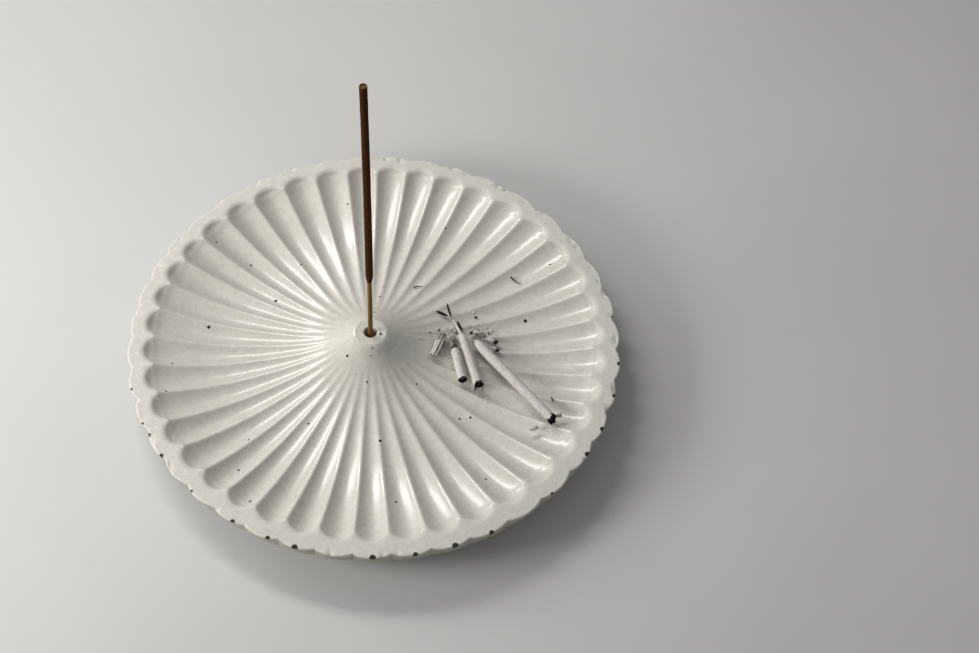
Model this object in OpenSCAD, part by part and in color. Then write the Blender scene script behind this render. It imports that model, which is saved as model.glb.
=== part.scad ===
// Fluted incense plate with a raised boss for one stick, the stick itself and the
// burnt residue that lies on the plate. Millimetres and degrees, +Z up.
// The origin is at the middle of the plate on the surface that it stands on.

/* [Plate] */
// Overall diameter across the scallops of the rim
plate_d = 161; // [120:1:220]
// Height of the flat rim above the surface it stands on
rim_h = 14; // [13:0.5:24]
// Thickness of the rim's outer edge
edge_t = 4.6; // [3:0.1:6]
// Width of the flat rim at the tip of a flute
rim_w = 6; // [4:0.5:9]
// Number of flutes and of scallops
flutes = 40; // [24:2:56]
// Depth of the scallops at the top of the edge
scallop = 1.3; // [0.4:0.1:1.6]
// Depth of the scallops left at the bottom of the edge
scallop_low = 0.3; // [0:0.1:0.4]
// How far each flute's round end bulges into the rim
tip_bulge = 2.4; // [1:0.1:3]
// Depth of the flutes at their outer end
flute_depth = 2.3; // [1:0.1:3]
// Length of the scooped outer end of a flute
scoop_len = 4; // [2:0.5:6]
// Radius at which the flutes fade out into the boss
fade_r = 11; // [9:0.5:16]
// Depth of the ridges below the rim in the middle of the bowl
bowl_depth = 4.4; // [3:0.1:5]
// Radius at which the ridges lie lowest
low_r = 42; // [38:1:48]
// Diameter of the foot under the plate
foot_d = 100; // [80:1:108]

/* [Boss] */
// Height of the boss's top above the rim
boss_h = 5.9; // [4:0.1:9]
// Diameter of the boss's flat top
boss_d = 12; // [10:0.5:14]
// Length over which the boss's flank falls away
flank = 10.3; // [8:0.1:12]
// Width of the worn shoulder around the boss's top
shoulder = 0.8; // [0.4:0.1:1.2]
// Diameter of the hole's mouth
hole_d = 4.2; // [3.4:0.1:5]
// Depth of the hole's mouth, down to the socket
hole_depth = 6; // [4:0.5:8]
// Depth of the narrow socket that holds the stick upright
socket_depth = 8; // [5:0.5:9]
// Clearance around the stick in its socket, on the radius
socket_fit = 0.06; // [0.04:0.01:0.1]

/* [Stick] */
// Diameter of the bamboo core
core_d = 1.6; // [1.2:0.1:2.2]
// Diameter over the incense paste
paste_d = 2.5; // [2.4:0.1:4]
// Length of bare core above the boss
bare_len = 27.5; // [15:0.5:40]
// Length of the paste coating
paste_len = 92.7; // [60:0.1:180]
// Length over which the paste tapers off at its lower end
paste_taper = 3.5; // [2:0.5:8]
// Gap under the core's end in the socket
core_gap = 0.2; // [0.1:0.1:1]

/* [Foot pads] */
// Number of pads under the foot
pads = 4; // [3:1:6]
// Diameter of a pad
pad_d = 10; // [6:0.5:14]
// Thickness of a pad
pad_t = 1; // [0.6:0.1:2]
// Distance from a pad's edge to the foot's edge
pad_inset = 5; // [2:0.5:10]

/* [Ash] */
// Diameter of the long and middle ash rolls
roll_d = 3.4; // [2.8:0.1:4.2]
// Diameter of the short ash roll
short_d = 3.2; // [2.6:0.1:4]
// Diameter of the hollow that the core left in each roll
roll_hole_d = 1.6; // [1.2:0.1:2]
// Distance of the long roll's inner end from the stick
heap_r = 34.3; // [33:0.1:40]
// Distance of the long roll's outer end from the tips of the flutes
end_inset = 7.5; // [6:0.5:14]
// Length of the middle roll
middle_len = 21.8; // [14:0.1:24]
// Length of the short roll
short_len = 12.6; // [8:0.1:14]
// Length of the charred stub behind the short roll
stub_len = 4; // [2:0.1:5]
// Gap between the loose pieces, and under them
ash_gap = 0.35; // [0.3:0.05:0.6]

/* [Hidden] */

// Plate: radii
peak_r = plate_d / 2;
tip_r = peak_r - rim_w;
ridge_r = tip_r - tip_bulge;
boss_r = boss_d / 2;
foot_r = foot_d / 2;
// Plate: the surface is sampled on rings of four points a flute
per_flute = 4;
columns = flutes * per_flute;
ridge_angle = 1.8;
inner_rings = 10;
scoop_rings = 4;
scoop_start_r = ridge_r - scoop_len - 6;
// Boss and hole: heights
boss_top = rim_h + boss_h;
socket_top = boss_top - hole_depth;
socket_bottom = socket_top - socket_depth;
socket_d = core_d + 2 * socket_fit;
cut = 1;
// Stick: heights
core_bottom = socket_bottom + core_gap;
paste_bottom = boss_top + bare_len;
stick_top = paste_bottom + paste_len;
paste_skin = 0.15;
// Ash: directions and reference points in plan
roll_r = roll_d / 2;
short_r = short_d / 2;
long_dir = -49.5;
middle_dir = -71.2;
short_dir = -75;
heap_angle = 6.3;
flake_t = 0.4;
splinter_t = 0.5;
round_fn = 48;

// A unit vector in plan, and a point along and to the left of a direction
function heading(a) = [cos(a), sin(a)];
function beside(p, a, along, left) = p + along * heading(a) + left * heading(a + 90);

// Height of the ridge crests above the ground at radius r: a shallow bowl that meets
// the rim, plus the boss's flank, which falls away exponentially
function bowl(r) = r < low_r ? bowl_depth
    : bowl_depth * max(0, 1 - pow((r - low_r) / (ridge_r - low_r), 2));
function flank_z(r) = (boss_h + bowl_depth) * exp(-max(0, r - boss_r) / flank);
function crest_z(r) = rim_h + min(boss_h, flank_z(r) - bowl(r));

// Depth of a flute below the crests: it widens and deepens outwards, is round across
// (u runs from -1 to 1 between two crests) and ends in a scoop, s from its end
function scoop(s) = s >= scoop_len ? 1 : sqrt(1 - pow(1 - s / scoop_len, 2));
function flute_z(r, u, s) =
    flute_depth * max(0, (r - fade_r) / (tip_r - fade_r)) * (1 - u * u) * scoop(s);

// Points of the plate's surface in one column, from the boss's top to the foot
function inner_r(k) = boss_r * pow(scoop_start_r / boss_r, k / inner_rings);
function column(u) =
    let (end_r = tip_r - tip_bulge * u * u)
    [
        [boss_r - shoulder, boss_top],
        for (k = [0 : inner_rings])
            let (r = inner_r(k))
            [r + (k == 0 ? shoulder / 4 : 0), crest_z(r + (k == 0 ? shoulder / 2 : 0)) - flute_z(r, u, scoop_len)],
        for (k = [0 : scoop_rings])
            let (s = scoop_len * pow(1 - k / scoop_rings, 2), r = end_r - s)
            [r, crest_z(min(r, ridge_r)) - flute_z(r, u, s)],
        [peak_r - scallop * u * u, rim_h],
        [peak_r - scallop - scallop_low * u * u, rim_h - edge_t],
        [foot_r, pad_t]
    ];
ring_count = len(column(0));
function phase(j) = abs((j % per_flute) * 2 / per_flute - 1);

module turned_tube(outer, inner, length) {
    rotate_extrude($fn = round_fn)
        translate([inner, 0])
            square([outer - inner, length]);
}

// Lays a piece that runs up +Z along the line from a to b, with its -X side up
module lay(a, b) {
    d = b - a;
    translate(a)
        rotate([0, acos(d.z / norm(d)), atan2(d.y, d.x)])
            children();
}

// Height at which a straight piece of half height h rests on the crests: the line
// between its two ends, raised where the crests stand above it
function rest_lift(a, b) = max([
    for (t = [0 : 0.1 : 1])
        crest_z(norm(a + t * (b - a))) - (1 - t) * crest_z(norm(a)) - t * crest_z(norm(b))
]);
function rest_point(p, a, b, h) = [p.x, p.y, crest_z(norm(p)) + rest_lift(a, b) + h + ash_gap];

module lay_on_crests(a, b, h) {
    lay(rest_point(a, a, b, h), rest_point(b, a, b, h))
        children();
}

module dish() {
    rings = [for (j = [0 : columns - 1]) column(phase(j))];
    points = [
        for (i = [0 : ring_count - 1])
            for (j = [0 : columns - 1])
                let (a = ridge_angle + 360 * j / columns, p = rings[j][i])
                [p[0] * cos(a), p[0] * sin(a), p[1]]
    ];
    last = (ring_count - 1) * columns;
    faces = [
        [for (j = [columns - 1 : -1 : 0]) j],
        [for (j = [0 : columns - 1]) last + j],
        for (i = [0 : ring_count - 2])
            for (j = [0 : columns - 1])
                let (
                    near = i * columns + j,
                    near_next = i * columns + (j + 1) % columns,
                    far = near + columns,
                    far_next = near_next + columns
                )
                each [[near, near_next, far_next], [near, far_next, far]]
    ];
    color("#c9c6bd")
    difference() {
        polyhedron(points, faces, convexity = 6);
        translate([0, 0, socket_top])
            cylinder(d = hole_d, h = hole_depth + cut, $fn = round_fn);
        translate([0, 0, socket_bottom])
            cylinder(d = socket_d, h = socket_depth + cut, $fn = round_fn);
    }
}

module foot_pad(i) {
    color("#8a7a63")
    rotate([0, 0, 45 + 360 * i / pads])
        translate([foot_r - pad_inset - pad_d / 2, 0, 0])
            cylinder(d = pad_d, h = pad_t, $fn = round_fn);
}

module bamboo_core() {
    color("#a8763a")
    translate([0, 0, core_bottom])
        cylinder(d = core_d, h = stick_top - core_bottom, $fn = round_fn);
}

module incense_paste() {
    color("#4a2a1c")
    rotate_extrude($fn = round_fn)
        polygon([
            [core_d / 2, paste_bottom],
            [core_d / 2 + paste_skin, paste_bottom],
            [paste_d / 2, paste_bottom + paste_taper],
            [paste_d / 2, stick_top],
            [core_d / 2, stick_top]
        ]);
}

// Ends of the three rolls in plan. The long roll ends a set distance from the flutes'
// tips; the others lie beside it and each other
long_a = heap_r * heading(heap_angle);
long_run = long_a * heading(long_dir);
long_len = sqrt(long_run * long_run - heap_r * heap_r + pow(tip_r - end_inset, 2)) - long_run;
long_b = beside(long_a, long_dir, long_len, 0);
middle_lead = 5;
middle_clear = roll_r + (roll_r + ash_gap) / cos(long_dir - middle_dir);
middle_side = beside(long_a, long_dir, 0, -middle_clear);
middle_a = beside(middle_side, middle_dir, -middle_lead, 0);
middle_b = beside(middle_a, middle_dir, middle_len, 0);
short_lag = 5.2;
short_a = beside(middle_a, middle_dir, short_lag, -(roll_r + short_r + ash_gap));
short_b = beside(short_a, short_dir, short_len, 0);

module long_ash_roll() {
    color("#d6d2c9")
    lay_on_crests(long_a, long_b, roll_r)
        turned_tube(roll_r, roll_hole_d / 2, long_len);
}

module middle_ash_roll() {
    color("#d6d2c9")
    lay_on_crests(middle_a, middle_b, roll_r)
        turned_tube(roll_r, roll_hole_d / 2, middle_len);
}

// Pale ash of the burnt core, which sticks out of the middle roll
sliver_len = 7.6;
sliver_dir = middle_dir + 180;
module core_ash_sliver() {
    tip = beside(middle_a, sliver_dir, sliver_len, 0.8);
    color("#dedad2")
    lay(
        rest_point(middle_a, middle_a, middle_b, roll_r),
        rest_point(tip, middle_a, tip, splinter_t)
    )
        cylinder(d1 = roll_hole_d - 0.4, d2 = 0.6, h = sliver_len, $fn = round_fn);
}

// A flat charred splinter, widest nearer its root
module splinter(root, tip, w) {
    length = norm(tip - root);
    color("#2c2824")
    lay_on_crests(root, tip, splinter_t)
        rotate([90, 0, 90])
            linear_extrude(height = splinter_t, center = true)
                polygon([[0, 0], [w / 2, length * 0.4], [0, length], [-w / 2, length * 0.4]]);
}

splinter_root = beside(middle_a, sliver_dir, sliver_len + 1, 1.1);
module char_splinter_long() {
    splinter(splinter_root, beside(splinter_root, 106, 6.2, 0), 0.8);
}

module char_splinter_broad() {
    root = beside(splinter_root, 170, 0.9, 0);
    splinter(root, beside(root, 158, 4.4, 0), 1.3);
}

module char_splinter_inner() {
    root = beside(splinter_root, -35, 2.6, 0);
    splinter(root, beside(root, -64, 4.4, 0), 1);
}

module short_ash_roll() {
    color("#d6d2c9")
    lay_on_crests(short_a, short_b, short_r)
        turned_tube(short_r, roll_hole_d / 2, short_len);
}

module charred_stub() {
    near = beside(short_a, short_dir + 180, ash_gap, 0);
    far = beside(near, short_dir + 180, stub_len, 0);
    color("#56514a")
    lay_on_crests(far, near, short_r)
        cylinder(r = short_r - 0.2, h = stub_len, $fn = round_fn);
}

// A curled flake of ash: half a pipe, hollow side down
module flake(a, b, r) {
    color("#cfcbc2")
    lay_on_crests(a, b, r / 6)
        rotate([0, 0, 90])
            rotate_extrude(angle = 180, $fn = round_fn)
                translate([r - flake_t, 0])
                    square([flake_t, norm(b - a)]);
}

curled_a = [23.7, 5.7];
module curled_flake() {
    flake(curled_a, beside(curled_a, -108, 10, 0), 1.8);
}

module upper_edge_flake() {
    a = beside(long_a, long_dir, 0.5, roll_r + ash_gap + 1.9);
    flake(a, beside(a, -16, 4.6, 0), 1.1);
}

module lower_edge_flake() {
    a = beside(long_a, long_dir, 3.6, roll_r + ash_gap + 1.2);
    flake(a, beside(a, -26, 3.8, 0), 0.8);
}

module rim_side_chip() {
    a = beside(long_b, long_dir, -3.6, -(roll_r + 5.7));
    flake(a, beside(a, 16, 3.2, 0), 0.9);
}

module torn_end_lump() {
    r = 1;
    p = beside(long_b, long_dir, -1.2, roll_r + ash_gap + r);
    color("#bdb8ae")
    translate([p.x, p.y, crest_z(norm(p)) + ash_gap + r])
        sphere(r = r, $fn = round_fn);
}

// Grains: place in plan beside a reference point, and radius
grains = [
    [beside(long_a, 90, 12.4, 0.8), 0.6],
    [beside(long_a, 90, 4, 1.4), 0.6],
    [beside(long_a, 90, 4.4, -1.2), 0.55],
    [beside(long_a, 60, 7.6, 0), 0.5],
    [beside(middle_a, 180, 2.9, 0.2), 0.6],
    [beside(middle_a, 180, 7.4, -1.6), 0.5],
    [beside(short_a, short_dir, 5.2, -(short_r + 1)), 0.45],
    [beside(short_a, short_dir, 2.4, -(short_r + 1.1)), 0.4],
    [beside(middle_b, middle_dir, 3.4, 1.2), 0.45],
    [[19.2, 6], 0.35]
];
module ash_crumbs() {
    color("#c4bfb5")
    for (g = grains)
        translate([g[0].x, g[0].y, crest_z(norm(g[0])) + ash_gap + g[1]])
            sphere(r = g[1], $fn = 24);
}

dish();
for (i = [1 : pads])
    foot_pad(i);
bamboo_core();
incense_paste();
long_ash_roll();
middle_ash_roll();
core_ash_sliver();
char_splinter_long();
char_splinter_broad();
char_splinter_inner();
short_ash_roll();
charred_stub();
curled_flake();
upper_edge_flake();
lower_edge_flake();
rim_side_chip();
torn_end_lump();
ash_crumbs();
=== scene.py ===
"""Incense burner: a fluted cast plate with one stick in its boss and loose ash lying on it.

Shapes are worked out in millimetres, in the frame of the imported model, and put into meshes in metres.
"""
import math

import bmesh
import bpy
import numpy as np
from mathutils import Euler, Matrix


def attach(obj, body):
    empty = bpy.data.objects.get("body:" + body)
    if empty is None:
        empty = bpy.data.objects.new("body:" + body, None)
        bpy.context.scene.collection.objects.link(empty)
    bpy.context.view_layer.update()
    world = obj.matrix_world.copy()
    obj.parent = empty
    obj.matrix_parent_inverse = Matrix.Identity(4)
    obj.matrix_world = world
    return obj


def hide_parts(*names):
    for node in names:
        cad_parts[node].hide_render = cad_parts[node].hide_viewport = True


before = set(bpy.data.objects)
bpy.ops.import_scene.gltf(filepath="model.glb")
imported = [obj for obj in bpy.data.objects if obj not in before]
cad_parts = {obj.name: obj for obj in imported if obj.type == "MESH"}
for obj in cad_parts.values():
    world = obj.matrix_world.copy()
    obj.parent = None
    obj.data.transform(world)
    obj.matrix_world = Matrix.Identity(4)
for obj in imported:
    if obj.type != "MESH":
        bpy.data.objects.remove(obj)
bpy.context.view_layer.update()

MM = 0.001


# ---------------------------------------------------------------- places taken from the frame

def rows_of(items, key):
    """One vector of each vertex or face of a mesh, in millimetres, in rows."""
    rows = np.empty(len(items) * 3)
    items.foreach_get(key, rows)
    return rows.reshape(-1, 3) / MM


def node_points(node):
    """The corners of a CAD node's mesh in millimetres, one row each."""
    return rows_of(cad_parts[node].data.vertices, "co")


def axes_along(along):
    """Unit vectors across, up and along a direction, where up is the steepest one square to it."""
    along = along / np.linalg.norm(along)
    up = np.array([0.0, 0.0, 1.0]) - along[2] * along
    up /= np.linalg.norm(up)
    return np.stack([np.cross(up, along), up, along])


class Seat:
    """Where a long CAD node lies: its axes, and the box that it fills along them.

    It runs the way its corners spread furthest, from its end nearer the plate's middle. Local
    places are (across, up, along), from the middle of the node's underside at its inner end.
    """

    def __init__(self, node):
        points = node_points(node)
        middle = points.mean(0)
        along = np.linalg.svd(points - middle, full_matrices=False)[2][0]
        if along[:2] @ middle[:2] < 0:
            along = -along
        self.axes = axes_along(along)
        local = points @ self.axes.T
        low, high = local.min(0), local.max(0)
        self.width, self.height, self.length = high - low
        self.start = np.array([(low[0] + high[0]) / 2, low[1], low[2]]) @ self.axes

    def place(self, local):
        """Moves local places to the plate's frame."""
        return self.start + local @ self.axes


# ---------------------------------------------------------------- numbers and noise

def smooth_step(low, high, value):
    """0 below low, 1 above high, and 3t^2 - 2t^3 between them."""
    t = np.clip((value - low) / (high - low), 0, 1)
    return t * t * (3 - 2 * t)


def lattice_random(cells, seed):
    """A random value from -1 to 1 for each integer cell: its three numbers are hashed together."""
    h = (cells[..., 0] * 374761393 + cells[..., 1] * 668265263
         + cells[..., 2] * 1274126177 + seed * 97531) & 0xFFFFFFFF
    h = ((h ^ (h >> 13)) * 1103515245) & 0xFFFFFFFF
    h = ((h ^ (h >> 16)) * 668265263) & 0xFFFFFFFF
    return (h & 0xFFFFFF) / 0x7FFFFF - 1


def noise(points, size, seed=0):
    """Smooth noise from -1 to 1: random values at the corners of cubes of the given size, blended
    across each cube with 3t^2 - 2t^3 along every axis."""
    q = points / size
    cell = np.floor(q).astype(np.int64)
    w = q - cell
    w = w * w * (3 - 2 * w)
    total = np.zeros(points.shape[:-1])
    for corner in np.ndindex(2, 2, 2):
        share = np.prod(np.where(np.array(corner) == 1, w, 1 - w), axis=-1)
        total += share * lattice_random(cell + np.array(corner), seed)
    return total


def rough(points, size, seed=0, octaves=3):
    """Noise summed over octaves, each of half the size and half the height of the one before."""
    return sum(noise(points, size / 2**k, seed + 11 * k) / 2**k for k in range(octaves))


# ---------------------------------------------------------------- meshes

def strip(first, second):
    """Faces between two closed rings of point numbers, the second further along the surface.

    Rings of equal length give four-sided faces. Where one ring has k points for each point of the
    other, its edges fan to the nearer point of the coarse ring, and a triangle fills each gap
    between two fans, so that the surface stays closed.
    """
    if len(first) > len(second):
        return [np.fliplr(f) for f in strip(second, first)]
    ahead = np.roll(second, -1)
    if len(first) == 1:
        return [np.stack([np.repeat(first, len(second)), second, ahead], 1)]
    if len(first) == len(second):
        return [np.stack([first, second, ahead, np.roll(first, -1)], 1)]
    k = len(second) // len(first)
    edges = np.arange(len(second))
    fan = first[((edges + k // 2) // k) % len(first)]
    gap = second[np.arange(len(first)) * k + k // 2]
    return [np.stack([fan, second, ahead], 1), np.stack([first, gap, np.roll(first, -1)], 1)]


def skin(rings, loop=False):
    """Points and faces of a surface through closed rings of points, each an array of rows. A ring
    of one point closes a pole, and loop joins the last ring to the first, as round a tube's wall."""
    starts = np.cumsum([0] + [len(r) for r in rings])
    numbers = [np.arange(a, b) for a, b in zip(starts, starts[1:])]
    pairs = list(zip(numbers, numbers[1:])) + ([(numbers[-1], numbers[0])] if loop else [])
    return np.concatenate(rings), [f for a, b in pairs for f in strip(a, b)]


def rod(rings, loop=False):
    """Points and faces of a skin whose rings turn anticlockwise about their way ahead."""
    points, faces = skin(rings, loop)
    return points, [np.fliplr(f) for f in faces]


def round_turn(count):
    """Angles evenly round a whole turn."""
    return np.linspace(0, math.tau, count, endpoint=False)


def hoop(turn, r, height, x=0.0, y=0.0):
    """One point for each angle round a ring of radius r about (x, y), at a height."""
    return np.stack([x + r * np.cos(turn), y + r * np.sin(turn), np.broadcast_to(height, turn.shape)], 1)


def pole(x, y, z):
    """A ring of one point, which closes a skin."""
    return np.array([[x, y, z]])


def shell(outer, inner):
    """Points and faces of a closed sheet between two grids of points of the same shape: both
    faces, the inner one turned round, and a strip along each of the four borders."""
    rows, cols = outer.shape[:2]
    number = np.arange(rows * cols).reshape(rows, cols)
    quads = np.stack([number[:-1, :-1], number[:-1, 1:], number[1:, 1:], number[1:, :-1]], -1)
    quads = quads.reshape(-1, 4)
    border = np.concatenate([number[0, :-1], number[:-1, -1], number[-1, :0:-1], number[:0:-1, 0]])
    ahead = np.roll(border, -1)
    back = rows * cols
    sides = np.stack([ahead, border, border + back, ahead + back], 1)
    points = np.concatenate([outer.reshape(-1, 3), inner.reshape(-1, 3)])
    return points, [quads, np.fliplr(quads) + back, sides]


def bring_together(parts):
    """One list of points and faces from several."""
    points, faces, count = [], [], 0
    for part_points, part_faces in parts:
        points.append(part_points)
        faces += [f + count for f in part_faces]
        count += len(part_points)
    return np.concatenate(points), faces


def make_mesh(name, points, faces, marks=None):
    """A smooth mesh from points in millimetres, with a float attribute for each mark."""
    mesh = bpy.data.meshes.new(name)
    mesh.from_pydata((points * MM).tolist(), [], [face for f in faces for face in f.tolist()])
    mesh.polygons.foreach_set("use_smooth", np.ones(len(mesh.polygons), bool))
    add_marks(mesh, marks or {})
    mesh.update()
    return mesh


def add_marks(mesh, marks, domain="POINT"):
    """Writes a float attribute for each mark, one value a point or a face."""
    for mark, values in marks.items():
        layer = mesh.attributes.new(mark, "FLOAT", domain)
        layer.data.foreach_set("value", np.asarray(values, np.float32))


def add_piece(name, mesh, body, material, node=None, sharp=None):
    """Puts a mesh in the scene as one piece of the burner."""
    made = bpy.data.objects.new(name, mesh)
    bpy.context.collection.objects.link(made)
    if sharp:
        mesh.set_sharp_from_angle(angle=math.radians(sharp))
    mesh.materials.append(material)
    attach(made, body)
    if node:
        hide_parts(node)
    return made


# ---------------------------------------------------------------- the plate's surface

DISH = node_points("dish")
DISH_R = np.hypot(DISH[:, 0], DISH[:, 1])
PEAK_R = DISH_R.max()
RIM_H = DISH[DISH_R.argmax(), 2]
BOSS_TOP = DISH[:, 2].max()
FOOT_Z = DISH[:, 2].min()
STICK = node_points("bamboo_core")
PASTE = node_points("incense_paste")

# Sizes are in millimetres and angles in radians
FLUTES = 40
PER_FLUTE = 24  # columns of points across a flute
COARSE = 4  # near the boss and underneath, one column stands for this many
FIRST_RIDGE = math.radians(1.8)
HAND_NOISE = 0.004
RIM_W = 6.0  # from the flutes' tips to the rim's peaks
TIP_BULGE = 2.4  # how far a flute's tip stands out past the ridges beside it
SCALLOP = 1.3  # depth of the notches between the rim's lobes at its upper edge
SCALLOP_LOW = 0.3  # and at its lower one
EDGE_T = 4.6  # height of the rim's side
EDGE_ROUND = 0.45
FLUTE_DEPTH = 2.15
SCOOP_LEN = 4.4  # length of the curve by which a flute's floor rises at its tip
LIP_ROUND = 0.32
CREST_HALF_W = 0.75
FADE_R = 11.0  # the flutes start here, with no depth
BOWL_DEPTH = 4.4
LOW_R = 42.0  # out to here the ridges run level
FOOT_R = 50.0
BOSS_R = 6.0
FLANK = 10.3  # the boss's flank falls by a factor e over this
SHOULDER = 0.5
HOLE_R = 2.1
HOLE_DEPTH = 6.0
SOCKET_R = 0.86
SOCKET_DEPTH = 8.0
HUB_R = 10.0
TIP_R = PEAK_R - RIM_W
RIDGE_R = TIP_R - TIP_BULGE
# How far the flutes' tips, and the rim's outline beyond them, stand off the boss's axis
TIP_SHIFT = np.array([1.0, -0.2])
RIM_SHIFT = np.array([0.5, -0.9])
# The waves by which the ridges stand off their even spacing: count round the plate, degrees
# off, and where round the plate each wave starts
HAND_WAVES = [(1, 2.2, -15), (2, 0.8, -20), (3, 0.25, 152), (4, 0.7, 149), (5, 0.35, -130)]


def bowl(r):
    """Depth of the ridge crests below the rim: level inside LOW_R, then a parabola up to the rim."""
    rise = np.clip((r - LOW_R) / (RIDGE_R - LOW_R), 0, 1)
    return BOWL_DEPTH * (1 - rise**2)


def crest_z(r):
    """Height of the ridge crests: the bowl plus the boss's exponential flank, blended into the
    flat top with a smooth minimum, -k ln(exp(-a/k) + exp(-b/k))."""
    flank = (BOSS_TOP - RIM_H + BOWL_DEPTH) * np.exp((BOSS_R - r) / FLANK)
    slope = RIM_H + flank - bowl(r)
    return -SHOULDER * np.logaddexp(-BOSS_TOP / SHOULDER, -slope / SHOULDER)


def scoop(s):
    """A quarter ellipse, 0 at a flute's end and 1 from SCOOP_LEN inwards, with a worn lip:
    s is first replaced by k ln(1 + exp(s/k))."""
    t = LIP_ROUND * np.logaddexp(0, s / LIP_ROUND) / SCOOP_LEN
    return np.sqrt(1 - (1 - np.clip(t, 0, 1)) ** 2)


def flute_z(r, u, s):
    """Depth of a flute at u across it and s from its end, growing with the radius. Across, it is
    1 - u^2 with each crest rounded: within w of the crest it is w + (1 - w)(1 - |u|)^2 / w."""
    w = np.clip(CREST_HALF_W * FLUTES / (math.pi * np.maximum(r, 1)), 0.02, 0.5)
    side = 1 - np.abs(u)
    hollow = np.where(side < w, w + (1 - w) * side**2 / w, 1 - u * u)
    deep = FLUTE_DEPTH * np.clip((r - FADE_R) / (TIP_R - FADE_R), 0, None)
    return deep * hollow * scoop(s)


def hand_turn(angle):
    """How far the pattern's ridges stand off their even spacing, as a hand-cut master leaves
    them: a few waves round the plate, sum of a sin(n angle - start), and a little noise."""
    place = np.stack([np.cos(angle), np.sin(angle), np.zeros_like(angle)], -1)
    waves = sum(math.radians(size) * np.sin(count * angle - math.radians(start))
                for count, size, start in HAND_WAVES)
    return waves + HAND_NOISE * noise(place, 0.16, 5)


def flute_across(angle):
    """Where an angle lies across its flute: -1 and 1 at the crests, 0 in the middle."""
    even = angle - hand_turn(angle - hand_turn(angle))
    turns = (even - FIRST_RIDGE) * FLUTES / math.tau
    return 2 * (turns - np.floor(turns)) - 1


def off_centre(r):
    """How far the casting is drawn off the boss's axis at a radius, in plan: it grows smoothly
    from the boss to the flutes' tips, and a little more across the rim."""
    return (smooth_step(HUB_R, TIP_R - 2, r)[..., None] * TIP_SHIFT
            + smooth_step(TIP_R - 2, PEAK_R, r)[..., None] * RIM_SHIFT)


def pattern_place(points):
    """Radius, place across the flute and distance from the flute's end, for points in rows."""
    plan = points[..., :2] - off_centre(np.hypot(points[..., 0], points[..., 1]))
    r = np.hypot(plan[..., 0], plan[..., 1])
    u = flute_across(np.arctan2(plan[..., 1], plan[..., 0]))
    return r, u, TIP_R - TIP_BULGE * u * u - r


def plate_z(x, y):
    """Height of the plate's upper surface at a place in plan."""
    r, u, s = pattern_place(np.stack([np.asarray(x, float), np.asarray(y, float)], -1))
    return np.where(s > 0, crest_z(np.minimum(r, RIDGE_R)) - flute_z(r, u, s), RIM_H)


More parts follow.
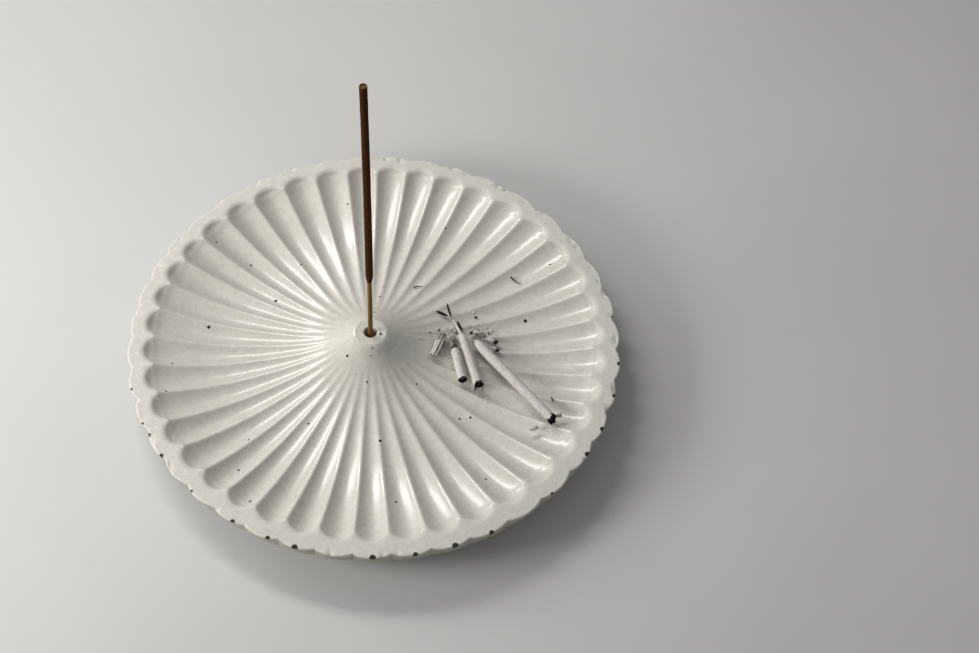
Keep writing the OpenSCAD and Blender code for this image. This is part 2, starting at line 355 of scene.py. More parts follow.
def plate_rings():
    """Rings of the plate's skin from the bottom of the socket, up over the boss, out over the
    flutes and the rim, and back underneath to the middle of the foot.

    Near the boss and underneath every ring has one column for four of the flutes' own columns.
    Columns stand closer together near the crests: u = 0.6 t + 0.4 sin(pi t / 2).
    """
    t = np.tile(np.linspace(-1, 1, PER_FLUTE, endpoint=False), FLUTES)
    u = 0.6 * t + 0.4 * np.sin(math.pi * t / 2)
    even = FIRST_RIDGE + (np.repeat(np.arange(FLUTES), PER_FLUTE) + (u + 1) / 2) * math.tau / FLUTES
    fine = even + hand_turn(even)
    coarse = fine[::COARSE]
    end = TIP_R - TIP_BULGE * u * u

    mouth_z = BOSS_TOP - HOLE_DEPTH
    socket_z = mouth_z - SOCKET_DEPTH
    lip = np.linspace(0, math.pi / 2, 5)
    rings = [pole(0, 0, socket_z)]
    rings += [hoop(coarse, r, socket_z) for r in (SOCKET_R * 0.5, SOCKET_R)]
    rings += [hoop(coarse, SOCKET_R, z) for z in np.linspace(socket_z, mouth_z - 0.2, 6)[1:]]
    rings += [hoop(coarse, r, mouth_z + 0.25 * (r - SOCKET_R)) for r in (SOCKET_R + 0.15, 1.4, 1.9)]
    rings += [hoop(coarse, HOLE_R, z) for z in np.linspace(mouth_z + 0.5, BOSS_TOP - 0.3, 8)]
    rings += [hoop(coarse, HOLE_R + 0.3 * (1 - np.cos(a)), BOSS_TOP - 0.3 * (1 - np.sin(a)))
              for a in lip[1:]]
    rings += [hoop(coarse, r, crest_z(r) + 0.1 * np.exp(-((r - 5.1) / 0.5) ** 2))
              for r in np.concatenate([np.linspace(2.8, 4.4, 4), np.linspace(4.7, 8.0, 12)])]
    rings += [hoop(coarse, r, crest_z(r)) for r in (8.5, 9.2, HUB_R)]

    for r in np.geomspace(HUB_R * 1.03, RIDGE_R - SCOOP_LEN - 0.8, 40):
        rings.append(hoop(fine, r, crest_z(r) - flute_z(r, u, end - r)))
    for k in np.linspace(0, 1, 13)[:-1]:
        s = SCOOP_LEN * (1 - k) ** 2
        r = end - s
        rings.append(hoop(fine, r, crest_z(np.minimum(r, RIDGE_R)) - flute_z(r, u, s)))
    for s in (-0.08, -0.2, -0.4, -0.7):
        rings.append(hoop(fine, end - s, RIM_H - flute_z(end, u, s)))

    edge = PEAK_R - SCALLOP * u * u
    low = PEAK_R - SCALLOP - SCALLOP_LOW * u * u
    for k in (0.15, 0.32, 0.5, 0.68, 0.84, 0.94):
        rings.append(hoop(fine, end + 0.7 + k * (edge - EDGE_ROUND - end - 0.7), RIM_H))
    for a in np.linspace(0, math.pi / 2, 6):
        rings.append(hoop(fine, edge - EDGE_ROUND * (1 - np.sin(a)), RIM_H - EDGE_ROUND * (1 - np.cos(a))))
    for k in np.linspace(0, 1, 9)[1:]:
        drop = EDGE_ROUND + k * (EDGE_T - EDGE_ROUND - 0.3)
        rings.append(hoop(fine, edge + (low - edge) * drop / EDGE_T, RIM_H - drop))
    rings.append(hoop(fine, low - 0.12, RIM_H - EDGE_T + 0.06))
    under = np.linspace(0, 1, 12)
    for k in under[:-1]:
        r = (low - 0.4) + (FOOT_R + 0.4 - low + 0.4) * k
        z = RIM_H - EDGE_T + (FOOT_Z + 0.25 - RIM_H + EDGE_T) * k
        rings.append(hoop(fine if k < 0.2 else coarse, r if k < 0.2 else r[::COARSE], z))
    rings += [hoop(coarse, FOOT_R - 0.4 + 0.4 * np.cos(a), FOOT_Z + 0.4 - 0.4 * np.sin(a))
              for a in lip[1:]]
    rings += [hoop(coarse, r, FOOT_Z) for r in (46, 40, 32, 24, 16, 8)]
    rings.append(pole(0, 0, FOOT_Z))
    return rings


def cast_unevenness(points):
    """Moves the plate's points a little, as a hand-poured casting stands: the rim off centre, a
    slow swell of the surface, small ripples at the rim, and shallow nicks along the rim's upper edge."""
    r = np.hypot(points[:, 0], points[:, 1])
    out = points[:, :2] / np.maximum(r, 1e-6)[:, None]
    points = np.concatenate([points[:, :2] + off_centre(r), points[:, 2:]], 1)
    open_face = smooth_step(FOOT_Z + 0.5, FOOT_Z + 1.5, points[:, 2]) * smooth_step(2.6, 4, r)
    moved = points.copy()
    moved[:, 2] += open_face * (0.05 * rough(points, 7, 21) + 0.02 * noise(points, 1.4, 22))
    at_edge = smooth_step(TIP_R - 1, PEAK_R - 1, r)
    moved[:, :2] += out * (at_edge * 0.09 * rough(points, 3.2, 23))[:, None]
    corner = np.exp(-((points[:, 2] - RIM_H) / 0.9) ** 2) * smooth_step(PEAK_R - 2.4, PEAK_R - 1.2, r)
    nick = corner * smooth_step(0.35, 0.8, noise(points, 2.3, 24))
    moved[:, 2] -= 0.3 * nick
    moved[:, :2] -= out * (0.25 * nick)[:, None]
    return moved


# Air bubbles that opened at the rim's upper edge: degrees round the plate and radius
RIM_BUBBLES = [
    (206, 0.6), (209.5, 0.75), (216, 0.8), (228, 0.6), (240.4, 0.9), (249.4, 0.85), (255.9, 1.15),
    (273.4, 1.15), (282.9, 0.95), (292, 1.2), (300.8, 1.0), (318, 0.6), (331.5, 1.1), (339.3, 1.1),
    (349.1, 1.0), (358.3, 1.0), (196, 0.6), (12, 0.6),
]

# Pinholes that opened in the bowl: place in plan and radius
BOWL_PITS = [
    (0.5, 11.0, 0.35), (3.4, -0.6, 0.4), (-7.0, -7.5, 0.4), (1.0, -6.1, 0.25), (0.7, -8.1, 0.22),
    (0.0, -15.5, 0.3), (5.5, -35.5, 0.45), (-54.0, 6.0, 0.5), (-33.0, 18.5, 0.45),
    (-64.0, -11.0, 0.35), (-64.5, -22.5, 0.3), (-36.5, -37.5, 0.3), (-38.5, -49.5, 0.35),
    (-33.5, -62.0, 0.4), (34.0, 15.7, 0.5), (50.5, 15.5, 0.55), (34.0, -24.5, 0.35),
    (30.5, -25.0, 0.35), (1.7, 20.3, 0.3), (-26.0, 33.8, 0.3), (-42.7, 32.9, 0.35),
    (22.0, 52.0, 0.3), (-12.0, 60.0, 0.3), (58.0, 38.0, 0.3), (12.0, -58.0, 0.35),
    (40.0, -48.0, 0.3), (-55.0, 40.0, 0.3), (-18.0, -30.0, 0.3), (16.0, -14.0, 0.28),
]


def pit_spheres():
    """Centres and radii of every bubble that is cut out of the plate, in rows."""
    pits = []
    for degrees, radius in RIM_BUBBLES:
        angle = math.radians(degrees)
        r = PEAK_R - SCALLOP * float(flute_across(angle)) ** 2 - 0.25 * radius
        x, y = np.array([r * math.cos(angle), r * math.sin(angle)]) + off_centre(np.array(r))
        pits.append([x, y, RIM_H - 0.45 * radius, radius])
    for x, y, radius in BOWL_PITS:
        pits.append([x, y, float(plate_z(x, y)) - 0.2 * radius, 1.2 * radius])
    return np.array(pits)


def ball(centre, radius, cols=16, rows=8, lumpy=0.0, seed=0):
    """A closed ball of rings between two poles, with its radius changed by noise where lumpy."""
    turn = round_turn(cols)
    rings = []
    for fall in np.linspace(0, math.pi, rows + 1):
        at_pole = fall in (0, math.pi)
        angle = turn[:1] if at_pole else turn
        ring = hoop(angle, np.sin(fall), np.cos(fall))
        rings.append(ring * (1 + lumpy * rough(ring + np.asarray(centre), 0.8, seed))[:, None])
    points, faces = skin(rings)
    return points * radius + np.asarray(centre), faces


# Edges shorter than this, in metres, are slivers that a cut left behind
SLIVER = 0.000005


def cut_away(target, tool):
    """Cuts one closed object out of another, keeps the result in its mesh and drops the tool."""
    cutter = target.modifiers.new("bubbles", "BOOLEAN")
    cutter.operation = "DIFFERENCE"
    cutter.solver = "EXACT"
    cutter.object = tool
    ready = target.evaluated_get(bpy.context.evaluated_depsgraph_get())
    cut = bpy.data.meshes.new_from_object(ready)
    target.modifiers.remove(cutter)
    target.data = cut
    bpy.data.objects.remove(tool)
    whole = bmesh.new()
    whole.from_mesh(cut)
    bmesh.ops.dissolve_degenerate(whole, dist=SLIVER, edges=whole.edges)
    whole.to_mesh(cut)
    whole.free()
    return cut


def plate(stone):
    """The cast plate: its skin, with the bubbles cut out, and marks for its crests, rim and side.
    A face is marked as pit where all its corners lie on a bubble."""
    points, faces = skin(plate_rings())
    mesh = make_mesh("cast_plate", cast_unevenness(points), faces)
    made = add_piece("cast_plate", mesh, "plate", stone, "dish")
    pits = pit_spheres()
    tool_points, tool_faces = bring_together([ball(p[:3], p[3]) for p in pits])
    tool = bpy.data.objects.new("bubble_tool", make_mesh("bubble_tool", tool_points, tool_faces))
    bpy.context.collection.objects.link(tool)
    cut = cut_away(made, tool)
    cut.set_sharp_from_angle(angle=math.radians(48))

    points = rows_of(cut.vertices, "co")
    r, u, s = pattern_place(points)
    on_top = smooth_step(RIM_H - 0.6, RIM_H - 0.2, points[:, 2])
    # The crest mark places a painted highlight, and the side mark painted shade, in the stone's colour
    add_marks(cut, {
        "crest": smooth_step(0.8, 0.98, np.abs(u)) * smooth_step(14, 40, r) * (r < RIDGE_R + 1),
        "rim": smooth_step(0.3, -0.3, s) * on_top,
        "side": (1 - smooth_step(RIM_H - 1.2, RIM_H - 0.5, points[:, 2]))
        * smooth_step(PEAK_R - 3.5, PEAK_R - 2.2, r),
    })
    corners = np.empty(len(cut.loops), np.int32)
    cut.loops.foreach_get("vertex_index", corners)
    first = np.empty(len(cut.polygons), np.int32)
    cut.polygons.foreach_get("loop_start", first)
    # A face on a bubble is marked for painted shade inside the bubble
    pit = np.zeros(len(first))
    for p in pits:
        away = np.linalg.norm(points - p[:3], axis=1)[corners]
        pit = np.maximum(pit, np.maximum.reduceat(away, first) < p[3] + 0.01)
    add_marks(cut, {"pit": pit}, "FACE")


PAD_ROUND = 0.22


def foot_pads(felt):
    """Felt discs with a pressed, rounded edge and a slightly fuzzy face."""
    turn = round_turn(64)
    bend = np.linspace(0, math.pi / 2, 5)
    near, far = PAD_ROUND * (1 - np.sin(bend)), PAD_ROUND * (1 - np.cos(bend))
    for node in sorted(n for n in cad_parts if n.startswith("foot_pad_")):
        corners = node_points(node)
        low, high = corners.min(0), corners.max(0)
        middle, radius = (low + high) / 2, (high[0] - low[0]) / 2
        profile = [(radius * k, high[2]) for k in (0.3, 0.6, 0.85)]
        profile += list(zip(radius - near, high[2] - far)) + list(zip(radius - far, low[2] + near))
        profile += [(radius * k, low[2]) for k in (0.85, 0.6, 0.3)]
        points, faces = skin([pole(0, 0, high[2]), *(hoop(turn, r, z) for r, z in profile),
                              pole(0, 0, low[2])])
        points[:, :2] *= (1 + 0.012 * noise(points, 0.9, 31))[:, None]
        points[:, :2] += middle[:2]
        mesh = make_mesh(node, points, faces)
        add_piece(node.replace("foot_pad", "felt_pad"), mesh, "plate", felt, node)


# ---------------------------------------------------------------- the stick

STICK_BOW = 0.9
TAPER = 3.5  # length of the paste's thin lower end


def bow(z):
    """How far a stick that dried slightly bent leans to the left at a height: a parabola."""
    share = np.clip((z - BOSS_TOP) / (STICK[:, 2].max() - BOSS_TOP), 0, 1)
    return -STICK_BOW * share**2


def bamboo_core(bamboo):
    """A split bamboo core: a round section flattened between worn corners, with fibres as fine
    ridges along it, carried up the bowed axis. It thins to its CAD radius in the socket."""
    radius = (STICK[:, 0].max() - STICK[:, 0].min()) / 2
    low, high = STICK[:, 2].min(), STICK[:, 2].max()
    turn = round_turn(48)
    rings = [pole(0, 0, low)]
    bare = np.linspace(low + 1, PASTE[:, 2].min() + 3, 90)
    for z in [low, low + 0.3, *bare, high - 0.25]:
        fibre = noise(hoop(turn, 9, z / 14), 1.0, 41)
        twist = turn + 0.15 * np.sin(z / 17)
        r = radius * (0.965 - 0.035 * np.cos(5 * twist) + 0.03 * fibre)
        r = np.minimum(r, radius) * (0.86 if z == low else 1)
        rings.append(hoop(turn, r, z, bow(z)))
    rings.append(pole(bow(high), 0, high - 0.2))
    mesh = make_mesh("bamboo_stick_core", *rod(rings))
    add_piece("bamboo_stick_core", mesh, "stick", bamboo, "bamboo_core", 60)


def incense_paste(paste):
    """The incense paste: a round coat with a slow swell, pressed lumps and a grainy skin. It
    tapers onto the core below, and above it is cut off flat round the core."""
    radius = (PASTE[:, 0].max() - PASTE[:, 0].min()) / 2
    low, high = PASTE[:, 2].min(), PASTE[:, 2].max()
    core_r = (STICK[:, 0].max() - STICK[:, 0].min()) / 2
    turn = round_turn(56)

    def ring(r, z):
        return hoop(turn, r, z, bow(z))

    heights = np.concatenate([np.linspace(low, low + TAPER, 14),
                              np.linspace(low + TAPER, high - 0.2, 260)[1:]])
    rings, cut_marks = [ring(core_r * 0.8, low + 0.6)], [0.0]
    for z in heights:
        place = hoop(turn, radius, z)
        ragged = 0.5 * noise(place, 0.9, 51) * (1 - smooth_step(low, low + TAPER, z))
        swell = smooth_step(-0.15, 1, (z + ragged - low) / TAPER)
        r = core_r + 0.04 + (radius - core_r - 0.06) * swell
        r = r + swell * (0.022 * rough(place, 1.1, 52) + 0.03 * noise(place, 6, 53) - 0.01)
        rings.append(ring(r, z))
        cut_marks.append(0.0)
    rings += [ring(radius * 0.96, high - 0.05), ring(radius * 0.9, high), ring(core_r + 0.06, high - 0.02),
              ring(core_r * 0.8, high - 0.5)]
    cut_marks += [0.3, 1.0, 1.0, 1.0]
    mesh = make_mesh("incense_coat", *rod(rings, loop=True), {"cut": np.repeat(cut_marks, len(turn))})
    add_piece("incense_coat", mesh, "stick", paste, "incense_paste", 60)


# ---------------------------------------------------------------- ash and char

def add_ash(name, points, faces, char, body, material, node=None, sharp=None):
    """Puts a piece of ash or char in the scene, scorched where char is near 1. On some pieces the same mark
    carries painted shade.
    """
    mesh = make_mesh(name, points, faces, {"char": char})
    add_piece(name, mesh, body, material, node, sharp)


ROLL_HOLE = 0.8  # radius of the hole that the burnt core left


def roll(name, material, char_len, ragged, crumbled, seed):
    """A fallen roll of ash: a hollow tube whose outer radius sags and swells with noise.

    Its outer end is torn: the length changes round the tube with noise, the wall thins and opens
    there, and it is charred black for about char_len, with painted shade reaching further into its bore. Its
    inner end tapers off by crumbled.
    """
    node = name.replace("_roll", "_ash_roll")
    seat = Seat(node)
    radius = seat.height / 2
    turn = round_turn(72)
    circle = hoop(turn, 1, 0)
    torn = ragged * (0.5 + 0.5 * np.clip(1.3 * rough(circle, 0.8, seed), -1, 1))
    inner_torn = 0.5 * crumbled * (0.5 + 0.5 * rough(circle, 0.7, seed + 1))
    start, finish = inner_torn, seat.length - torn
    even = np.linspace(0, 1, 90)
    share = 0.35 * even + 0.65 * (0.5 - 0.5 * np.cos(math.pi * even))

    def ring(k, inside):
        along = start + (finish - start) * k
        place = hoop(turn, radius, along)
        near_end = smooth_step(1.6, 0, finish - along)
        near_start = smooth_step(crumbled + 0.6, 0, along - start)
        coat = radius * (0.965 - 0.22 * near_start) + 0.05 * rough(place * [1, 1, 0.35], 1.3, seed + 2)
        coat = coat + 0.025 * noise(place, 0.35, seed + 3) + near_end * 0.16 * noise(place, 0.7, seed + 4)
        bore = ROLL_HOLE + (radius - ROLL_HOLE) * (0.72 * near_end - 0.15 * near_start)
        bore = bore + 0.04 * noise(place, 0.5, seed + 5)
        coat = np.minimum(coat, radius)
        r = np.minimum(bore, coat - 0.16) if inside else coat
        burnt = smooth_step(char_len, char_len * 0.35, finish - along + 0.5 * noise(place, 0.8, seed + 6))
        # Painted shade in the bore: inside, the dark reaches four times as far in as the char outside
        if inside:
            burnt = np.maximum(burnt, smooth_step(char_len * 4, char_len, finish - along) * 0.9)
        return hoop(turn, r, along, 0, radius), burnt

    made = [ring(k, False) for k in share] + [ring(k, True) for k in share[::-1]]
    points, faces = rod([ring_points for ring_points, _ in made], loop=True)
    char = np.concatenate([burnt for _, burnt in made])
    add_ash(name, seat.place(points), faces, char, name, material, node, 50)


def half_pipe(seat, curl, ribs, rib_height, thick, burnt_tip, seed, cols=56, rows=40):
    """A flake that peeled off a roll: part of a pipe's wall, hollow side down, with lengthwise
    ribs of height cos(ribs angle), torn borders and a thickness that noise changes. It is darkened all over
    its underside and along its torn borders, has painted shade in the grooves between the ribs, and is
    charred towards its outer end. Returns points, faces and char."""
    v, w = np.meshgrid(np.linspace(-1, 1, cols), np.linspace(0, 1, rows))
    border = np.stack([2.2 * v, 3 * w, np.zeros_like(v)], -1)
    angle = v * curl * (1 - 0.18 * np.abs(noise(border, 0.55, seed)) - 0.3 * (2 * w - 1) ** 4)
    torn = 0.1 * noise(border * [1, 0, 0] + [0, seed, 0], 0.3, seed + 1)
    along = seat.length * np.clip(0.02 + 0.96 * w + torn * (2 * w - 1), 0, 1)
    radius = min(seat.width / 2, seat.height) / max(math.sin(min(curl, math.pi / 2)), 0.2)
    radius *= 1 - 0.16 * (2 * w - 1) ** 2
    grain = np.stack([4 * angle, along * 0.5, np.zeros_like(v)], -1)
    rib = np.cos(ribs * angle + 0.5 * noise(border, 0.8, seed + 5))
    wave = rib_height * (rib - 0.5) + 0.05 * rough(grain, 0.7, seed + 2)
    outer_r = radius * 0.95 + wave
    inner_r = outer_r - thick * (0.7 + 0.3 * noise(grain, 0.5, seed + 3)) * (1 - 0.6 * np.abs(v) ** 6)

    wide = max(1.0, seat.width / 2 / seat.height)

    def face(r):
        lift = seat.height - radius.max()
        return np.stack([-wide * r * np.sin(angle), lift + r * np.cos(angle), along], -1)

    points, faces = shell(face(outer_r), face(inner_r))
    ragged = 0.12 * noise(grain, 0.8, seed + 4)
    # Painted shade in the grooves between the ribs
    groove = smooth_step(-0.55, -0.95, rib + ragged) * smooth_step(0, 0.1, rib_height)
    edge = np.maximum(smooth_step(0.82, 1, np.abs(v) + ragged), 0.6 * groove)
    edge = np.maximum(edge, burnt_tip * smooth_step(0.62, 0.74, w + ragged))
    char = np.concatenate([0.85 * edge.ravel(), np.ones(edge.size)])
    return seat.place(points), faces, char


def flake(name, node, material, curl, ribs, rib_height, thick, burnt_tip, seed):
    """One peeled flake in the place of its CAD node."""
    points, faces, char = half_pipe(Seat(node), curl, ribs, rib_height, thick, burnt_tip, seed)
    add_ash(name, points, faces, char, "loose_ash", material, node, 55)


def thread(line, up, thickest, seed):
    """A tube round a line of places, lifted clear of the plate, closed at both ends. Its radius
    is thickest (1 - 0.65 t) and a little noise, for t from 0 to 1 along it."""
    turn = round_turn(10)
    line[:, 2] = np.maximum(line[:, 2], plate_z(line[:, 0], line[:, 1]) + thickest + 0.08)
    ahead = np.gradient(line, axis=0)
    ahead /= np.linalg.norm(ahead, axis=1)[:, None]
    side = np.cross(ahead, up)
    side /= np.linalg.norm(side, axis=1)[:, None]
    over = np.cross(side, ahead)
    t = np.linspace(0, 1, len(line))
    radius = thickest * (1 - 0.65 * t) * (1 + 0.25 * noise(line, 0.35, seed))
    rings = [point + r * (np.cos(turn)[:, None] * a + np.sin(turn)[:, None] * b)
             for point, r, a, b in zip(line, radius, side, over)]
    return skin([line[:1], *rings, line[-1:]])


def strands(material):
    """Thin burnt strands that curl off the middle roll's torn end. Each follows a cubic curve
    through four places, (1-t)^3 a + 3(1-t)^2 t b + 3(1-t) t^2 c + t^3 d."""
    seat = Seat("middle_ash_roll")
    end = seat.length
    paths = [[(-0.9, 2.6, end - 1.2), (-1.7, 2.4, end - 0.4), (-1.9, 1.2, end + 0.4), (-2.3, 0.5, end + 1.3)],
             [(0.3, 3.1, end - 1.0), (-0.6, 3.2, end - 0.2), (-1.1, 2.4, end + 0.3), (-1.0, 1.5, end + 0.5)],
             [(0.9, 2.2, end - 0.9), (1.4, 2.0, end - 0.2), (1.2, 1.0, end + 0.5), (0.4, 0.7, end + 0.6)]]
    parts = []
    for number, path in enumerate(paths):
        a, b, c, d = seat.place(np.array(path))
        t = np.linspace(0, 1, 22)[:, None]
        line = (1 - t) ** 3 * a + 3 * (1 - t) ** 2 * t * b + 3 * (1 - t) * t**2 * c + t**3 * d
        line = line + 0.07 * np.stack([noise(line, 0.6, 231 + k) for k in range(3)], 1)
        parts.append(thread(line, seat.axes[1], 0.2, 235 + number))
    points, faces = bring_together(parts)
    add_ash("burnt_strands", points, faces, np.full(len(points), 0.9), "middle_roll", material)


def fibres(material):
    """Short charred fibres that fell on the flutes: both ends in plan, sideways bend and radius."""
    lying = [((12.6, 25.9), (15.4, 26.4), 0.2, 0.26), ((45.0, 32.8), (48.2, 30.1), -0.15, 0.3),
             ((59.9, -16.6), (60.6, -18.4), 0.1, 0.3)]
    parts = []
    for number, (first, last, bend, thickest) in enumerate(lying):
        t = np.linspace(0, 1, 16)[:, None]
        first, last = np.array(first), np.array(last)
        across = np.array([first[1] - last[1], last[0] - first[0]]) / np.linalg.norm(last - first)
        plan = first + (last - first) * t + across * bend * np.sin(math.pi * t)
        height = float(plate_z(plan[:, 0], plan[:, 1]).max()) + thickest + 0.08
        line = np.concatenate([plan, np.full((len(t), 1), height)], 1)
        parts.append(thread(line, np.array([0.0, 0.0, 1.0]), thickest, 238 + number))
    points, faces = bring_together(parts)
    add_ash("fallen_fibres", points, faces, np.full(len(points), 0.8), "loose_ash", material)


# Lumps of the heap: place in plan, radius and scorching
LUMPS = [
    ((34.3, 8.7), 1.0, 0.0), ((36.0, 9.4), 0.7, 0.1), ((33.1, 9.9), 0.6, 0.1), ((37.0, 7.9), 0.65, 0.3),
    ((33.8, 7.2), 0.6, 0.0), ((27.4, 8.6), 0.65, 0.1), ((26.2, 9.2), 0.45, 0.1), ((38.4, 9.4), 0.5, 0.3),
    ((28.8, 9.4), 0.55, 0.0), ((37.9, 6.5), 0.5, 0.0), ((35.5, 7.0), 0.5, 0.35), ((39.6, 10.6), 0.4, 0.1),
]


def heap(material):
    """Broken ash between the rolls' inner ends: lumpy closed pieces lying on the plate."""
    parts, char = [], []
    for number, (place, radius, scorched) in enumerate(LUMPS):
        centre = (*place, float(plate_z(*place)) + 0.72 * radius + 0.05)
        parts.append(ball(centre, radius * 0.85, 22, 14, 0.3, 241 + number))
        char.append(np.full(len(parts[-1][0]), scorched))
    points, faces = bring_together(parts)
    add_ash("ash_heap", points, faces, np.concatenate(char), "loose_ash", material, sharp=50)


def splinter(name, material, seed):
    """A flat splinter of char: a lens-shaped outline with torn fibres, thickest along its middle.
    Its section is an ellipse whose width follows sin(pi w)^0.6 from end to end."""
    node = "char_" + name
    seat = Seat(node)
    turn = round_turn(20)
    rings = [pole(0, seat.height / 2, 0)]
    for w in np.linspace(0.02, 0.98, 34):
        wide = seat.width / 2 * math.sin(math.pi * w ** 0.85) ** 0.6
        thick = seat.height / 2 * (0.45 + 0.5 * math.sin(math.pi * w))
        r = 1 - 0.18 * np.abs(rough(hoop(turn, 1.6, w * 5), 0.7, seed))
        rings.append(np.stack([wide * r * np.cos(turn), seat.height / 2 + thick * r * np.sin(turn),
                               np.full(turn.shape, w * seat.length)], 1))
    rings.append(pole(0, seat.height / 2, seat.length))
    points, faces = rod(rings)
    char = np.full(len(points), 0.92)
    add_ash(name, seat.place(points), faces, char, "middle_roll", material, node, 50)


def ash_sliver(material):
    """Pale ash of the burnt core: a taper from the middle roll's end to a thin point, fibrous."""
    seat = Seat("core_ash_sliver")
    to_roll = Seat("middle_ash_roll").start
    if np.linalg.norm(seat.start - to_roll) > seat.length * 0.6:
        seat.start = seat.start + seat.length * seat.axes[2]
        seat.axes = seat.axes * np.array([[-1], [1], [-1]])
    turn = round_turn(28)
    rings = [pole(0, seat.height / 2, 0)]
    for w in np.linspace(0.01, 0.985, 48):
        radius = seat.height / 2 * (0.94 - 0.62 * w ** 0.8)
        r = radius * (1 + 0.22 * rough(hoop(turn, 1, w * 2.2), 0.6, 61))
        rings.append(hoop(turn, r, w * seat.length, 0, seat.height / 2 * (1 - 0.25 * w)))
    rings.append(pole(0, seat.height / 2 * 0.75, seat.length))
    points, faces = rod(rings)
    char = np.zeros(len(points))
    add_ash("core_ash", seat.place(points), faces, char, "middle_roll", material, "core_ash_sliver", 50)


def stub(material):
    """The charred stub behind the short roll: a short plug, domed and pitted at both ends."""
    seat = Seat("charred_stub")
    radius = seat.height / 2
    turn = round_turn(56)
    profile = [(0.35, 0.08), (0.65, 0.04), (0.86, 0.03), (0.95, 0.08)]
    profile += [(0.98, k) for k in np.linspace(0.14, 0.86, 12)]
    profile += [(0.95, 0.93), (0.86, 0.97), (0.65, 0.96), (0.35, 0.92)]
    rings = [pole(0, radius, 0.1 * seat.length)]
    for share, w in profile:
        place = hoop(turn, radius * share, w * seat.length)
        r = np.minimum(radius * share * (0.97 + 0.05 * rough(place, 1.0, 71)), radius)
        along = np.clip(place[:, 2] + 0.15 * rough(place, 0.8, 72), 0, seat.length)
        rings.append(hoop(turn, r, along, 0, radius))
    rings.append(pole(0, radius, 0.9 * seat.length))
    points, faces = rod(rings)
    char = np.clip(0.42 + 0.2 * noise(points, 0.9, 73), 0.2, 0.9)
    add_ash("burnt_stub", seat.place(points), faces, char, "short_roll", material, "charred_stub", 50)


# A ball's corners lie within BALL_R of its middle, and so within BALL_REACH of one another
BALL_R = 1.05
BALL_REACH = 2.2


def node_balls(node):
    """Centre and radius of each separate ball of a CAD node."""
    points = node_points(node)
    found = []
    while len(points):
        group = np.linalg.norm(points - points[0], axis=1) < BALL_REACH
        for _ in range(3):
            middle = (points[group].min(0) + points[group].max(0)) / 2
            group = np.linalg.norm(points - middle, axis=1) < BALL_R
        found.append((middle, (points[group].max(0) - points[group].min(0)).max() / 2))
        points = points[~group]
    return found


def crumbs(material):
    """Crumbs of ash: lumpy closed grains in the CAD grains' places, some of them scorched."""
    parts, char = [], []
    for k, (middle, radius) in enumerate(node_balls("ash_crumbs")):
        part = ball(middle, radius * 0.88, 26, 16, 0.2, 81 + k)
        parts.append(part)
        char.append(np.full(len(part[0]), (0.0, 0.55, 0.1, 0.25)[k % 4]))
    points, faces = bring_together(parts)
    add_ash("crumbs", points, faces, np.concatenate(char), "loose_ash", material, "ash_crumbs", 60)


def torn_lump(material):
    """The pale lump at the long roll's torn end, with painted shade darkening its underside."""
    (middle, radius), = node_balls("torn_end_lump")
    points, faces = ball(middle, radius * 0.86, 40, 26, 0.24, 91)
    # Painted shade: the char mark darkens the lump's underside
    below = smooth_step(middle[2] + 0.1, middle[2] - 0.7, points[:, 2])
    add_ash("pale_lump", points, faces, below, "loose_ash", material, "torn_end_lump", 60)


def dust(material):
    """Ash dust: specks with twenty faces each, strewn in clouds round the heap and lying on the
    plate. Each is a squashed, turned icosahedron."""
    rng = np.random.default_rng(7)
    golden = (1 + math.sqrt(5)) / 2
    signs = np.array([(a, b) for a in (-1, 1) for b in (-1, 1)], float)
    corner = np.concatenate([np.roll(np.column_stack([np.zeros(4), signs[:, 0], golden * signs[:, 1]]), k, 1)
                             for k in range(3)]) / math.hypot(1, golden)
    gap = np.linalg.norm(corner[:, None] - corner[None], axis=-1)
    joined = (gap > 0.1) & (gap < 1.1)
    faces = np.array([(a, b, c) for a in range(12) for b in range(a + 1, 12) for c in range(b + 1, 12)
                      if joined[a, b] and joined[b, c] and joined[a, c]])
    outward = np.einsum("ij,ij->i", np.cross(corner[faces[:, 1]] - corner[faces[:, 0]],
                                             corner[faces[:, 2]] - corner[faces[:, 0]]), corner[faces].sum(1))
    faces[outward < 0] = faces[outward < 0][:, ::-1]
    # Clouds of specks: middle in plan, spread, number and largest radius
    clouds = [((27.5, 8.5), 1.6, 90, 0.26), ((34.5, 9.0), 2.0, 110, 0.28), ((39.5, 7.5), 2.0, 40, 0.24),
              ((14.5, 1.5), 2.6, 26, 0.26), ((60.0, -27.0), 3.4, 34, 0.2), ((31.0, 0.0), 7.0, 50, 0.16),
              ((45.0, -14.0), 12.0, 44, 0.13), ((34.0, -16.0), 3.0, 26, 0.2)]
    parts, char = [], []
    for middle, spread, number, largest in clouds:
        at = np.array(middle) + rng.normal(0, spread, (number, 2))
        size = largest * rng.uniform(0.35, 1, number) ** 1.6
        dark = np.where(rng.random(number) < 0.1, 0.85, rng.uniform(0, 0.2, number))
        squash = rng.uniform(0.5, 1, (number, 1, 3))
        spin = rng.uniform(0, math.tau, number)
        c, s = np.cos(spin), np.sin(spin)
        x, y, z = (corner[None] * squash * size[:, None, None]).transpose(2, 0, 1)
        ground = plate_z(at[:, 0], at[:, 1])[:, None]
        places = np.stack([at[:, :1] + x * c[:, None] - y * s[:, None],
                           at[:, 1:] + x * s[:, None] + y * c[:, None],
                           ground + 0.45 * size[:, None] + z + 0.02], -1)
        parts.append((places.reshape(-1, 3),
                      [(faces[None] + 12 * np.arange(number)[:, None, None]).reshape(-1, 3)]))
        char.append(np.repeat(dark, 12))
    points, dust_faces = bring_together(parts)
    mesh = make_mesh("ash_dust", points, dust_faces, {"char": np.concatenate(char)})
    mesh.polygons.foreach_set("use_smooth", np.zeros(len(mesh.polygons), bool))
    add_piece("ash_dust", mesh, "loose_ash", material)


# ---------------------------------------------------------------- shader groups

